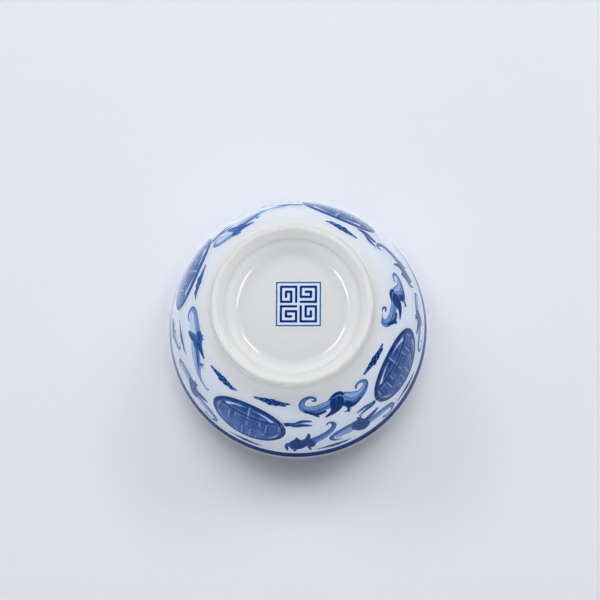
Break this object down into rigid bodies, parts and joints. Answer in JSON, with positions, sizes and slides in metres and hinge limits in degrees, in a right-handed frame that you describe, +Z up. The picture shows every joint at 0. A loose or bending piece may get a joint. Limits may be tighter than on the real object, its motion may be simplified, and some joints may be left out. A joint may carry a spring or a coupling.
{
  "type": "teacup",
  "caption": "Small porcelain teacup without a handle: a deep round bowl on a turned foot ring, with blue painted medallions, bats and clouds outside.",
  "frame": {"origin": "centre of the foot ring's contact face, on the cup's axis", "axes": "+Z up along the cup's axis, from the foot to the mouth; +X and +Y lie in the plane that the cup stands on, and +Y points about to the side of medallion_2"},
  "size_m": [0.0622, 0.0622, 0.0377],
  "materials": {
    "porcelain": "gloss",
    "cobalt": "gloss"
  },
  "bodies": {
    "root": {"bowl": "porcelain", "foot_ring": "porcelain", "rim_band": "cobalt", "bat_climbing_1": "cobalt", "bat_climbing_2": "cobalt", "bat_climbing_3": "cobalt", "bat_climbing_4": "cobalt", "bat_diving_1": "cobalt", "bat_diving_2": "cobalt", "bat_hanging_1": "cobalt", "bat_hanging_2": "cobalt", "bat_hanging_3": "cobalt", "bat_hanging_4": "cobalt", "bat_spread_1": "cobalt", "bat_spread_2": "cobalt", "cloud_1": "cobalt", "cloud_10": "cobalt", "cloud_11": "cobalt", "cloud_2": "cobalt", "cloud_3": "cobalt", "cloud_4": "cobalt", "cloud_5": "cobalt", "cloud_6": "cobalt", "cloud_7": "cobalt", "cloud_8": "cobalt", "cloud_9": "cobalt", "mark_block_1": "cobalt", "mark_block_2": "cobalt", "mark_block_3": "cobalt", "mark_block_4": "cobalt", "mark_frame": "cobalt", "medallion_1": "cobalt", "medallion_2": "cobalt", "medallion_3": "cobalt", "medallion_4": "cobalt", "tassel_1": "cobalt", "tassel_2": "cobalt", "tassel_3": "cobalt", "tassel_4": "cobalt", "tassel_5": "cobalt"}
  },
  "joints": []
}
